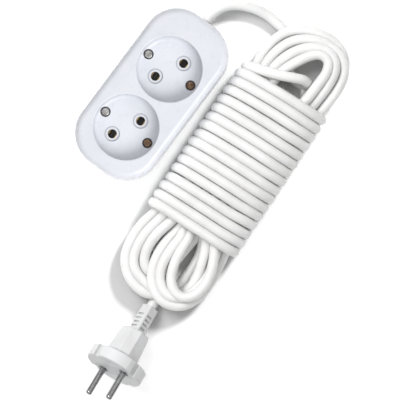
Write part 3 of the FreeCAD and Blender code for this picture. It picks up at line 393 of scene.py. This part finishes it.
def plated_steel():
    """Zinc-plated screws, grey on the block's left side, with painted shade in dark brown on its
    right side.
    """
    made, tree, shader = metal(
        "screw_steel", (0.46, 0.46, 0.45), (0.24, 0.23, 0.22), (0.24, 0.42), (1.0, 6.0, 1.0), 8e-6
    )
    space = tree.nodes.new("ShaderNodeTexCoord")
    axes = tree.nodes.new("ShaderNodeSeparateXYZ")
    tree.links.new(space.outputs["Object"], axes.inputs["Vector"])
    # The share of painted shade, from none on the block's left side to full on its right side.
    side = tree.nodes.new("ShaderNodeMapRange")
    side.inputs["From Min"].default_value = -0.012
    side.inputs["From Max"].default_value = 0.012
    tree.links.new(axes.outputs["X"], side.inputs["Value"])
    mixed = tree.nodes.new("ShaderNodeMix")
    mixed.data_type = "RGBA"
    patches = shader.inputs["Base Color"].links[0].from_socket
    # Painted shade: the dark brown that stands in for the shade on the right-hand screws.
    painted_shade_brown = ramp(
        tree, noise(tree, 900.0, 4.0), (0.4, (0.07, 0.04, 0.025)), (0.6, (0.24, 0.16, 0.11))
    )
    tree.links.new(side.outputs["Result"], mixed.inputs["Factor"])
    tree.links.new(patches, mixed.inputs["A"])
    tree.links.new(painted_shade_brown, mixed.inputs["B"])
    tree.links.new(mixed.outputs["Result"], shader.inputs["Base Color"])
    return made


def stranded_copper():
    """Bare wire whose strands show as fine slanting ridges."""
    made, tree, shader = metal(
        "copper_wire", (0.86, 0.45, 0.27), (0.50, 0.22, 0.12), (0.25, 0.45), (1.0, 0.2, 1.0), 4e-6
    )
    space = tree.nodes.new("ShaderNodeTexCoord")
    strands = tree.nodes.new("ShaderNodeTexWave")
    strands.bands_direction = "DIAGONAL"
    strands.inputs["Scale"].default_value = 900.0
    tree.links.new(space.outputs["Object"], strands.inputs["Vector"])
    relief(tree, shader, strands.outputs["Fac"], 6e-5)
    return made


# The painted shade in a sheath's creases, as a share of its clean colour.
SHEATH_CREASE = 0.90      # how bright a sheath's creases are beside its open skin


def soft_sheath(name, clean, handled, gloss):
    """Soft extruded PVC: a satin skin that lets a little light in, with a fine pebbled grain and
    painted shade in its creases.
    """
    # Painted shade: the sheath's creases are darkened towards this colour.
    crease_shade = tuple(SHEATH_CREASE * level for level in clean)
    made, shader = moulded(name, clean, handled, gloss, 2600.0, 1.6e-5, crease_shade, 70.0, 0.0014)
    shader.inputs["Subsurface Weight"].default_value = 0.35
    shader.inputs["Subsurface Radius"].default_value = (1.0, 1.0, 0.95)
    shader.inputs["Subsurface Scale"].default_value = 0.0016
    return made


def dress(node, made):
    """Give a CAD node its one material."""
    piece = frame["nodes"][node]
    piece.data.materials.clear()
    piece.data.materials.append(made)


# The last colour given to each moulded plastic is the painted shade in its creases.
cover_plastic = moulded(
    "cover_plastic", (0.684, 0.698, 0.745), (0.640, 0.662, 0.705), (0.24, 0.36), 1800.0, 2.5e-6,
    (0.10, 0.10, 0.12),
)[0]
base_plastic = moulded(
    "base_plastic", (0.700, 0.715, 0.745), (0.640, 0.650, 0.670), (0.46, 0.62), 2400.0, 9e-6,
    (0.12, 0.12, 0.13),
)[0]
bridge_plastic = moulded(
    "bridge_plastic", (0.520, 0.530, 0.540), (0.450, 0.455, 0.460), (0.38, 0.52), 2200.0, 6e-6,
    (0.08, 0.08, 0.08),
)[0]
plug_pvc = moulded(
    "plug_pvc", (0.610, 0.614, 0.620), (0.565, 0.565, 0.560), (0.40, 0.54), 2000.0, 7e-6,
    (0.54, 0.54, 0.54),
)[0]
cord_pvc = soft_sheath("cord_pvc", (0.745, 0.745, 0.740), (0.690, 0.688, 0.680), (0.34, 0.48))
brown = soft_sheath("brown_core", (0.235, 0.105, 0.048), (0.170, 0.072, 0.033), (0.30, 0.42))
blue = soft_sheath("blue_core", (0.050, 0.150, 0.450), (0.036, 0.110, 0.340), (0.30, 0.42))
steel = plated_steel()
brass = metal(
    "contact_brass", (0.62, 0.46, 0.21), (0.34, 0.23, 0.10), (0.24, 0.42), (1.0, 0.08, 1.0), 5e-6
)[0]
rivet_brass = metal(
    "rivet_brass", (0.80, 0.61, 0.30), (0.52, 0.36, 0.16), (0.26, 0.44), (1.0, 1.0, 1.0), 8e-6
)[0]
nickel = metal(
    "pin_plating", (0.36, 0.36, 0.37), (0.29, 0.285, 0.28), (0.06, 0.13), (1.0, 0.12, 1.0), 3e-7
)[0]
copper = stranded_copper()

BY_SLOT = {
    "cover_plastic": cover_plastic, "base_plastic": base_plastic, "screw_steel": steel,
    "contact_brass": brass, "rivet_brass": rivet_brass, "cord_pvc": cord_pvc,
    "brown_core": brown, "blue_core": blue, "copper_wire": copper, "plug_pvc": plug_pvc,
    "bridge_plastic": bridge_plastic, "pin_plating": nickel,
}
for part in frame["record"]["subparts"]:
    dress(part["node"], BY_SLOT[part["material_slot"]])

cord = make_cord()
cord.data.materials.append(cord_pvc)
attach(cord, "root")
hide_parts("cord_lead", "cord_hank", "cord_tail")

# ---------------------------------------------------------------- floor, light and camera

FLOOR_PLACE = Vector((0.06, -0.03, 0.0))


def floor_white():
    """A plain pale studio floor."""
    made, _, shader = new_material("floor_white")
    shader.inputs["Base Color"].default_value = (0.50, 0.50, 0.50, 1.0)
    shader.inputs["Roughness"].default_value = 0.8
    shader.inputs["Specular IOR Level"].default_value = 0.2
    return made


bpy.ops.mesh.primitive_plane_add(size=4.0, location=FLOOR_PLACE)
floor = bpy.context.object
floor.name = "floor"
floor.data.materials.append(floor_white())


def studio_world(overhead, horizon):
    """Even white light that falls off from overhead to the horizon, as in a tented studio."""
    world = bpy.data.worlds.new("studio")
    world.use_nodes = True
    tree = world.node_tree
    space = tree.nodes.new("ShaderNodeTexCoord")
    axes = tree.nodes.new("ShaderNodeSeparateXYZ")
    strength = tree.nodes.new("ShaderNodeMapRange")
    strength.inputs["To Min"].default_value = horizon
    strength.inputs["To Max"].default_value = overhead
    background = tree.nodes["Background"]
    background.inputs["Color"].default_value = (1.0, 1.0, 1.0, 1.0)
    tree.links.new(space.outputs["Generated"], axes.inputs["Vector"])
    tree.links.new(axes.outputs["Z"], strength.inputs["Value"])
    tree.links.new(strength.outputs["Result"], background.inputs["Strength"])
    bpy.context.scene.world = world


studio_world(1.14, 0.0)


def area_light(name, place, target, size, power):
    lamp = bpy.data.lights.new(name, "AREA")
    lamp.shape = "DISK"
    lamp.size = size
    lamp.energy = power
    light = bpy.data.objects.new(name, lamp)
    light.location = place
    light.rotation_euler = (Vector(target) - Vector(place)).to_track_quat("-Z", "Y").to_euler()
    bpy.context.scene.collection.objects.link(light)
    return light


def linked(name, objects, state):
    """A light linking collection whose objects are all included or all left out."""
    group = bpy.data.collections.new(name)
    for shown in objects:
        group.objects.link(shown)
    for link in group.collection_objects:
        link.light_linking.link_state = state
    return group


block_shell = [frame["nodes"][node] for node in ("top_cover", "base_plate", "cover_screws")]
key = area_light("key", (-0.85, 0.08, 1.30), (0.06, -0.03, 0.0), 0.90, 19.0)
key.light_linking.receiver_collection = linked("not_the_block", block_shell, "EXCLUDE")
side = area_light("side", (1.05, -0.25, 1.25), (0.02, 0.0, 0.0), 1.10, 17.4)
side.light_linking.receiver_collection = linked("the_block", block_shell, "INCLUDE")
backdrop = area_light("backdrop", (0.12, 1.56, 1.32), (0.06, -0.03, 0.0), 0.50, 90.0)
backdrop.light_linking.receiver_collection = linked("the_floor", [floor], "INCLUDE")
backdrop.light_linking.blocker_collection = linked("cord_only", [cord], "INCLUDE")

CAMERA_PLACE = (0.0627, -0.0342, 2.2)
CAMERA_TURN = math.radians(36.8)
CAMERA_FIELD = math.radians(6.44)
camera_data = bpy.data.cameras.new("camera")
camera_data.angle = CAMERA_FIELD
camera = bpy.data.objects.new("camera", camera_data)
camera.location = CAMERA_PLACE
camera.rotation_euler = (0.0, 0.0, CAMERA_TURN)
bpy.context.scene.collection.objects.link(camera)
bpy.context.scene.camera = camera
bpy.context.scene.view_settings.view_transform = "Standard"

bpy.context.view_layer.update()
